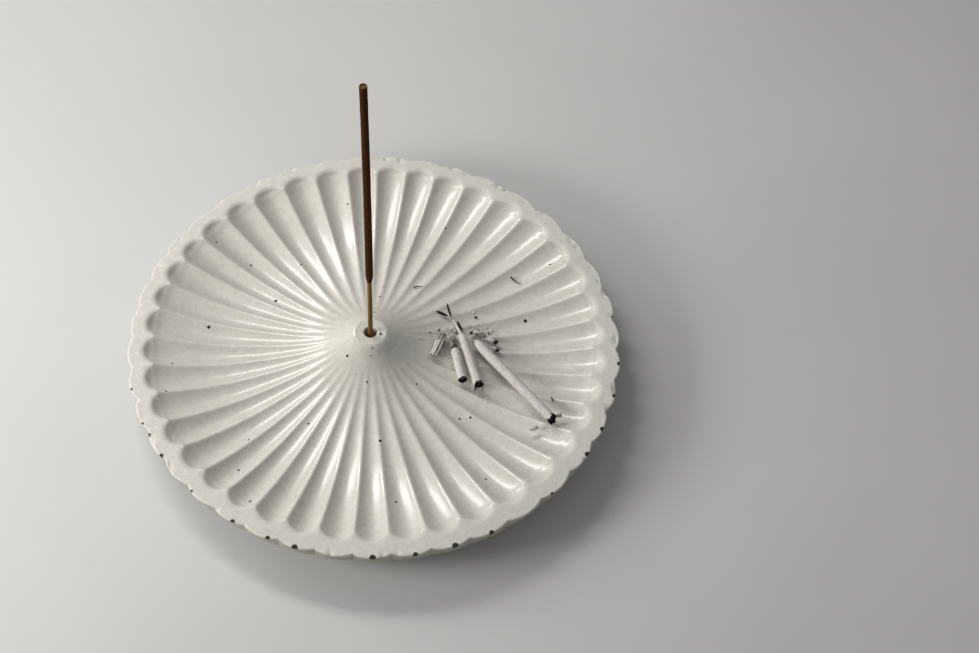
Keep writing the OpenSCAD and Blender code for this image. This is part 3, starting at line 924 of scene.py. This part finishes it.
def set_inputs(tree, sockets, inputs):
    """Joins each named input to a socket, or sets it to a value."""
    for name, value in inputs.items():
        if isinstance(value, bpy.types.NodeSocket):
            tree.links.new(value, sockets[name])
        else:
            sockets[name].default_value = value


def add_node(tree, kind, inputs=None, **settings):
    """A node with its settings and its inputs."""
    made = tree.nodes.new(kind)
    for name, value in settings.items():
        setattr(made, name, value)
    set_inputs(tree, made.inputs, inputs or {})
    return made


def combined(tree, a, b, operation="ADD"):
    """Two numbers or sockets put together by an operation."""
    return add_node(tree, "ShaderNodeMath", {0: a, 1: b}, operation=operation).outputs[0]


def times(tree, a, b):
    """The product of two numbers or sockets."""
    return combined(tree, a, b, "MULTIPLY")


def larger(tree, a, b):
    """The larger of two numbers or sockets."""
    return combined(tree, a, b, "MAXIMUM")


def fitted(tree, value, low, high, to_low=0.0, to_high=1.0):
    """A value carried smoothly from one range to another."""
    inputs = {"Value": value, "From Min": low, "From Max": high, "To Min": to_low, "To Max": to_high}
    return add_node(tree, "ShaderNodeMapRange", inputs, interpolation_type="SMOOTHSTEP").outputs["Result"]


def blend_colours(tree, share, a, b, mode="MIX"):
    """One colour laid over another by a share."""
    inputs = {0: share, 6: a, 7: b}
    return add_node(tree, "ShaderNodeMix", inputs, data_type="RGBA", blend_type=mode).outputs[2]


def tinted(tree, colour, mask, share, over):
    """A colour with another laid over it by a share of a mask."""
    return blend_colours(tree, times(tree, mask, share), colour, over)


def noise_texture(tree, place, scale, detail, roughness=0.5, distortion=0.0):
    """The value of a noise texture."""
    return add_node(tree, "ShaderNodeTexNoise", {
        "Vector": place, "Scale": scale, "Detail": detail, "Roughness": roughness,
        "Distortion": distortion}).outputs["Fac"]


def grey(value):
    """A colour of one level."""
    return (value, value, value, 1.0)


def new_group(name, inputs, outputs):
    """An empty shader group: a vector, other inputs with their usual values, and its outputs."""
    group = bpy.data.node_groups.new(name, "ShaderNodeTree")
    group.interface.new_socket("Vector", in_out="INPUT", socket_type="NodeSocketVector")
    for label, usual in inputs.items():
        socket = group.interface.new_socket(label, in_out="INPUT", socket_type="NodeSocketFloat")
        socket.default_value = usual
    for label in outputs:
        group.interface.new_socket(label, in_out="OUTPUT", socket_type="NodeSocketFloat")
    return group, group.nodes.new("NodeGroupInput").outputs, group.nodes.new("NodeGroupOutput").inputs


def grain_group():
    """Fine grain: sandy noise over two sizes, as a value about 0.5 and a height."""
    group, given, out = new_group("Fine grain", {"Scale": 1500.0, "Coarse": 0.4}, ["Value", "Height"])
    fine = noise_texture(group, given["Vector"], given["Scale"], 3.0, 0.65)
    wide = noise_texture(group, given["Vector"], times(group, given["Scale"], 0.22), 4.0)
    mixed = add_node(group, "ShaderNodeMix", {0: given["Coarse"], 2: fine, 3: wide}).outputs[0]
    set_inputs(group, out, {"Value": fitted(group, mixed, 0.3, 0.7), "Height": mixed})
    return group


def mottle_group():
    """Mottling: slow cloudy change between 0 and 1."""
    group, given, out = new_group("Mottling", {"Scale": 60.0, "Low": 0.35, "High": 0.65}, ["Mask"])
    cloud = noise_texture(group, given["Vector"], given["Scale"], 5.0, 0.6, 0.3)
    set_inputs(group, out, {"Mask": fitted(group, cloud, given["Low"], given["High"])})
    return group


def pinhole_group():
    """Pinholes: round specks, one in some of the cells of a Voronoi pattern, each its own size."""
    group, given, out = new_group("Pinholes", {"Scale": 150.0, "Radius": 0.04, "Share": 0.3}, ["Mask"])
    cells = add_node(group, "ShaderNodeTexVoronoi", {"Vector": given["Vector"], "Scale": given["Scale"]})
    chance = add_node(group, "ShaderNodeSeparateColor", {"Color": cells.outputs["Color"]}).outputs
    size = times(group, given["Radius"], combined(group, chance["Green"], 0.35))
    inside = add_node(group, "ShaderNodeMapRange", {
        "Value": cells.outputs["Distance"], "From Min": size, "From Max": times(group, size, 0.55)})
    chosen = combined(group, chance["Red"], given["Share"], "LESS_THAN")
    set_inputs(group, out, {"Mask": times(group, inside.outputs[0], chosen)})
    return group


def scorch_group():
    """Scorching: a mark whose border is broken up by noise, as black char and a brown fringe."""
    group, given, out = new_group("Scorching", {"Mark": 0.0, "Break": 0.3}, ["Black", "Fringe"])
    crackle = noise_texture(group, given["Vector"], 1400.0, 4.0, 0.7)
    swing = times(group, combined(group, crackle, 0.5, "SUBTRACT"), given["Break"])
    level = combined(group, given["Mark"], times(group, swing, 2.0))
    set_inputs(group, out, {"Black": fitted(group, level, 0.42, 0.62),
                            "Fringe": fitted(group, level, 0.12, 0.45)})
    return group


GRAIN = grain_group()
MOTTLE = mottle_group()
PINHOLES = pinhole_group()
SCORCH = scorch_group()


def use_group(tree, group, **inputs):
    """A group placed in a tree with its own values."""
    made = tree.nodes.new("ShaderNodeGroup")
    made.node_tree = group
    set_inputs(tree, made.inputs, inputs)
    return made.outputs


def new_material(name):
    """A material, its tree, its Principled shader's inputs and the Object coordinates."""
    made = bpy.data.materials.new(name)
    made.use_nodes = True
    tree = made.node_tree
    place = add_node(tree, "ShaderNodeTexCoord").outputs["Object"]
    return made, tree, tree.nodes["Principled BSDF"].inputs, place


def mark(tree, name):
    """A float attribute of the mesh."""
    return add_node(tree, "ShaderNodeAttribute", attribute_name=name).outputs["Fac"]


def bump(tree, shader, height, distance, strength=1.0):
    """Height in 0 to 1, made a bump so many metres deep."""
    made = add_node(tree, "ShaderNodeBump", {"Height": height, "Distance": distance, "Strength": strength})
    tree.links.new(made.outputs["Normal"], shader["Normal"])


# ---------------------------------------------------------------- finishes

# Middle of the patch of pale ash dust and painted sparkle highlight on the plate, and where it ends and is
# thickest, in metres
DUST_AND_SPARKLE_PLACE = (0.056, -0.012, 0.011)
DUST_AND_SPARKLE_END = 0.03
DUST_AND_SPARKLE_CORE = 0.006


def cast_stone():
    """Fine cast stone: a sealed, satin bowl and a drier, paler rim, with sandy grain, cloudy
    colour, a painted highlight on the crests, painted shade on the rim's side and inside the pinholes and
    open bubbles, and pale ash dust with painted sparkle highlight where the burnt rolls lie."""
    made, tree, shader, place = new_material("cast_stone")
    grain = use_group(tree, GRAIN, Vector=place, Scale=2600.0, Coarse=0.35)
    cloud = use_group(tree, MOTTLE, Vector=place, Scale=42.0)["Mask"]
    spots = use_group(tree, MOTTLE, Vector=place, Scale=330.0, Low=0.38, High=0.72)["Mask"]
    holes = use_group(tree, PINHOLES, Vector=place, Scale=210.0, Radius=0.055, Share=0.16)["Mask"]
    rim, crest, side, pit = (mark(tree, name) for name in ("rim", "crest", "side", "pit"))

    colour = blend_colours(tree, cloud, (0.595, 0.571, 0.515, 1), (0.625, 0.603, 0.547, 1))
    colour = tinted(tree, colour, spots, 0.16, (0.53, 0.5, 0.44, 1))
    # Painted highlight: the ridge crests are made lighter than the flute floors
    colour = tinted(tree, colour, crest, 0.35, (0.7, 0.68, 0.63, 1))
    colour = tinted(tree, colour, rim, 0.55, (0.71, 0.69, 0.645, 1))
    speckle = blend_colours(tree, grain["Value"], grey(0.87), grey(1.08))
    colour = blend_colours(tree, 1.0, colour, speckle, "MULTIPLY")
    # Painted shade: the rim's outer side is made darker
    colour = tinted(tree, colour, side, 0.6, (0.36, 0.325, 0.27, 1))

    # Pale ash dust and painted sparkle highlight: a grainy, paler patch over the flutes on the right
    middle = add_node(tree, "ShaderNodeVectorMath", {0: place, 1: DUST_AND_SPARKLE_PLACE}, operation="DISTANCE")
    near_patch_middle = fitted(tree, middle.outputs["Value"], DUST_AND_SPARKLE_END, DUST_AND_SPARKLE_CORE)
    drift = use_group(tree, MOTTLE, Vector=place, Scale=190.0, Low=0.5, High=0.62)["Mask"]
    grit = use_group(tree, GRAIN, Vector=place, Scale=3800.0, Coarse=0.2)["Value"]
    dust_and_sparkle = times(tree, times(tree, near_patch_middle, drift), grit)
    colour = tinted(tree, colour, dust_and_sparkle, 0.55, (0.8, 0.785, 0.75, 1))
    # Painted shade: the open bubbles and the pinholes are made nearly black inside
    dark = larger(tree, pit, times(tree, holes, 0.7))
    colour = tinted(tree, colour, dark, 0.85, (0.09, 0.078, 0.062, 1))

    bare = larger(tree, rim, side)
    covered = larger(tree, dust_and_sparkle, dark)
    sheen = blend_colours(tree, cloud, grey(0.4), grey(0.46))
    sheen = tinted(tree, sheen, grain["Value"], 0.22, grey(0.5))
    sheen = blend_colours(tree, bare, sheen, grey(0.72))
    sheen = blend_colours(tree, covered, sheen, grey(0.9))
    sealed = fitted(tree, larger(tree, bare, covered), 0, 0.6, 0.85, 0.0)
    set_inputs(tree, shader, {"Base Color": colour, "Roughness": sheen, "Specular IOR Level": 0.4,
                              "Coat Weight": sealed, "Coat Roughness": 0.21})
    height = combined(tree, grain["Height"], times(tree, holes, -0.8))
    bump(tree, shader, combined(tree, height, times(tree, dust_and_sparkle, 0.5)), 0.00006, 0.8)
    return made


def bamboo():
    """Split bamboo: golden brown with darker lengthwise fibres and a low sheen."""
    made, tree, shader, place = new_material("bamboo")
    stretched = add_node(tree, "ShaderNodeMapping", {"Vector": place, "Scale": (1.0, 1.0, 0.04)}).outputs[0]
    fibres = use_group(tree, GRAIN, Vector=stretched, Scale=5200.0, Coarse=0.45)
    cloud = use_group(tree, MOTTLE, Vector=place, Scale=140.0)["Mask"]
    colour = blend_colours(tree, fibres["Value"], (0.12, 0.055, 0.006, 1), (0.3, 0.165, 0.028, 1))
    colour = tinted(tree, colour, cloud, 0.35, (0.16, 0.072, 0.012, 1))
    set_inputs(tree, shader, {"Base Color": colour, "Specular IOR Level": 0.25,
                              "Roughness": fitted(tree, fibres["Value"], 0, 1, 0.6, 0.42)})
    bump(tree, shader, fibres["Height"], 0.00008)
    return made


def incense():
    """Incense paste: dark reddish brown wood powder, grainy and dry, with a lighter cut end."""
    made, tree, shader, place = new_material("incense")
    grain = use_group(tree, GRAIN, Vector=place, Scale=4200.0, Coarse=0.4)
    cloud = use_group(tree, MOTTLE, Vector=place, Scale=230.0)["Mask"]
    flecks = use_group(tree, PINHOLES, Vector=place, Scale=1900.0, Radius=0.3, Share=0.25)["Mask"]
    colour = blend_colours(tree, grain["Value"], (0.034, 0.0115, 0.0018, 1), (0.088, 0.032, 0.0055, 1))
    colour = tinted(tree, colour, cloud, 0.4, (0.05, 0.018, 0.003, 1))
    colour = tinted(tree, colour, flecks, 0.45, (0.14, 0.062, 0.016, 1))
    colour = blend_colours(tree, mark(tree, "cut"), colour, (0.13, 0.066, 0.028, 1))
    set_inputs(tree, shader, {"Base Color": colour, "Specular IOR Level": 0.08,
                              "Roughness": fitted(tree, grain["Value"], 0, 1, 0.8, 0.92)})
    bump(tree, shader, grain["Height"], 0.00012)
    return made


def ash(name, pale, warm):
    """Ash: pale and dead matt with warm clouds and fine cracks, scorched where it is marked."""
    made, tree, shader, place = new_material(name)
    grain = use_group(tree, GRAIN, Vector=place, Scale=3600.0, Coarse=0.35)
    cloud = use_group(tree, MOTTLE, Vector=place, Scale=260.0, Low=0.42, High=0.66)["Mask"]
    cracks = add_node(tree, "ShaderNodeTexVoronoi", {"Vector": place, "Scale": 900.0},
                      feature="DISTANCE_TO_EDGE")
    crack = fitted(tree, cracks.outputs["Distance"], 0.06, 0.0)
    scorch = use_group(tree, SCORCH, Vector=place, Mark=mark(tree, "char"), Break=0.28)
    colour = blend_colours(tree, cloud, pale, warm)
    speckle = blend_colours(tree, grain["Value"], grey(0.78), grey(1.1))
    colour = blend_colours(tree, 1.0, colour, speckle, "MULTIPLY")
    colour = tinted(tree, colour, crack, 0.2, (0.3, 0.27, 0.24, 1))
    colour = tinted(tree, colour, scorch["Fringe"], 0.75, (0.16, 0.13, 0.105, 1))
    colour = blend_colours(tree, scorch["Black"], colour, (0.02, 0.0175, 0.015, 1))
    set_inputs(tree, shader, {"Base Color": colour, "Specular IOR Level": 0.25,
                              "Roughness": fitted(tree, scorch["Black"], 0, 1, 0.95, 0.7)})
    bump(tree, shader, combined(tree, grain["Height"], times(tree, crack, -0.25)), 0.0002)
    return made


def felt():
    """Pressed felt: brown wool with short tangled fibres."""
    made, tree, shader, place = new_material("felt")
    stretched = add_node(tree, "ShaderNodeMapping", {"Vector": place, "Scale": (1.0, 0.35, 1.0)}).outputs[0]
    wool = use_group(tree, GRAIN, Vector=stretched, Scale=2600.0, Coarse=0.3)
    cross = use_group(tree, GRAIN, Vector=place, Scale=1700.0, Coarse=0.5)
    tangle = times(tree, wool["Value"], cross["Value"])
    colour = blend_colours(tree, tangle, (0.13, 0.095, 0.062, 1), (0.3, 0.235, 0.165, 1))
    set_inputs(tree, shader, {"Base Color": colour, "Sheen Weight": 0.3,
                              "Roughness": fitted(tree, tangle, 0, 1, 0.98, 0.85)})
    bump(tree, shader, tangle, 0.00025)
    return made


# ---------------------------------------------------------------- the room

FLOOR_HALF = 1600.0


def floor():
    """A plain pale floor."""
    points = FLOOR_HALF * np.array([[-1, -1, 0], [1, -1, 0], [1, 1, 0], [-1, 1, 0]])
    made = bpy.data.objects.new("floor", make_mesh("floor", points, [np.array([[0, 1, 2, 3]])]))
    bpy.context.collection.objects.link(made)
    material, tree, shader, place = new_material("pale_floor")
    cloud = use_group(tree, MOTTLE, Vector=place, Scale=6.0)["Mask"]
    colour = blend_colours(tree, cloud, (0.6, 0.595, 0.585, 1), (0.63, 0.625, 0.615, 1))
    set_inputs(tree, shader, {"Base Color": colour, "Roughness": fitted(tree, cloud, 0, 1, 0.7, 0.78)})
    made.data.materials.append(material)


# How wide each lamp shines, in degrees: screens keep its light off the floor beneath it
LAMP_SPREAD = 110


def lamp(name, first_end, last_end, width, power, colour, mirrored=True):
    """A soft strip light between two ends, each given by azimuth, elevation and distance from
    the plate's middle, which it faces. Azimuth turns anticlockwise from +X. A lamp that isn't
    mirrored leaves no highlight of its own on glossy faces."""
    ends = []
    for azimuth, elevation, distance in (first_end, last_end):
        a, e = math.radians(azimuth), math.radians(elevation)
        ends.append(distance * np.array([math.cos(e) * math.cos(a), math.cos(e) * math.sin(a), math.sin(e)]))
    middle = (ends[0] + ends[1]) / 2
    long_way = ends[1] - ends[0]
    back = middle / np.linalg.norm(middle)
    across = np.cross(back, long_way)
    across /= np.linalg.norm(across)
    data = bpy.data.lights.new(name, "AREA")
    data.shape = "RECTANGLE"
    data.size = np.linalg.norm(long_way)
    data.size_y = width
    data.energy = power
    data.spread = math.radians(LAMP_SPREAD)
    data.color = colour
    made = bpy.data.objects.new(name, data)
    bpy.context.collection.objects.link(made)
    made.visible_glossy = mirrored
    made.location = middle
    made.rotation_euler = Matrix([np.cross(across, back), across, back]).transposed().to_euler()


def room():
    """Soft studio light from a long strip behind and to the left, over an even fill."""
    lamp("key_light", (112, 53, 0.72), (146, 34, 0.6), 0.1, 0.66, (1.0, 0.985, 0.955))
    lamp("low_light", (140, 24, 0.75), (168, 24, 0.68), 0.15, 0.38, (1.0, 0.985, 0.96), False)
    lamp("left_light", (188, 24, 0.48), (214, 24, 0.48), 0.15, 0.55, (1.0, 0.99, 0.97), False)
    world = bpy.data.worlds.new("room")
    world.use_nodes = True
    fill = world.node_tree.nodes["Background"].inputs
    set_inputs(world.node_tree, fill, {"Color": (0.97, 0.985, 1.0, 1), "Strength": 0.25})
    bpy.context.scene.world = world
    bpy.context.scene.view_settings.view_transform = "Standard"


# The camera: lens and sensor in millimetres, degrees up from straight down and round its own
# axis, and its place in metres
LENS = 90
SENSOR = 36
CAMERA_TILT = 35.93
CAMERA_TURN = 2.877
CAMERA_PLACE = (0.03865, -0.46483, 0.66767)


def camera():
    """A long lens from in front and above, turned a little about its own axis."""
    data = bpy.data.cameras.new("camera")
    data.lens = LENS
    data.sensor_width = SENSOR
    made = bpy.data.objects.new("camera", data)
    bpy.context.collection.objects.link(made)
    tilt = Euler((math.radians(CAMERA_TILT), 0, 0)).to_matrix()
    turn = Euler((0, 0, math.radians(CAMERA_TURN))).to_matrix()
    made.rotation_euler = (tilt @ turn).to_euler()
    made.location = CAMERA_PLACE
    bpy.context.scene.camera = made


# ---------------------------------------------------------------- the burner

ASH = ash("ash", (0.65, 0.63, 0.595, 1), (0.63, 0.575, 0.525, 1))
WHITE_ASH = ash("white_ash", (0.74, 0.72, 0.68, 1), (0.62, 0.59, 0.55, 1))
CHAR = ash("char", (0.42, 0.39, 0.36, 1), (0.3, 0.27, 0.24, 1))

camera()
room()
floor()
plate(cast_stone())
foot_pads(felt())
bamboo_core(bamboo())
incense_paste(incense())
roll("long_roll", ASH, 1.1, 1.3, 2.2, 101)
roll("middle_roll", ASH, 1.2, 1.5, 1.6, 121)
roll("short_roll", ASH, 0.45, 0.6, 0.5, 141)
ash_sliver(ASH)
for which, splinter_seed in (("long", 161), ("broad", 171), ("inner", 181)):
    splinter("splinter_" + which, CHAR, splinter_seed)
stub(CHAR)
flake("curled_ash", "curled_flake", WHITE_ASH, 1.5, 8, 0.13, 0.4, 0.5, 191)
flake("edge_ash_upper", "upper_edge_flake", WHITE_ASH, 1.4, 4, 0.06, 0.4, 1, 201)
flake("edge_ash_lower", "lower_edge_flake", WHITE_ASH, 1.4, 4, 0.06, 0.4, 1, 211)
flake("ash_chip", "rim_side_chip", WHITE_ASH, 1.3, 4, 0.05, 0.4, 0.3, 221)
strands(CHAR)
fibres(CHAR)
heap(WHITE_ASH)
torn_lump(ASH)
crumbs(ASH)
dust(ASH)
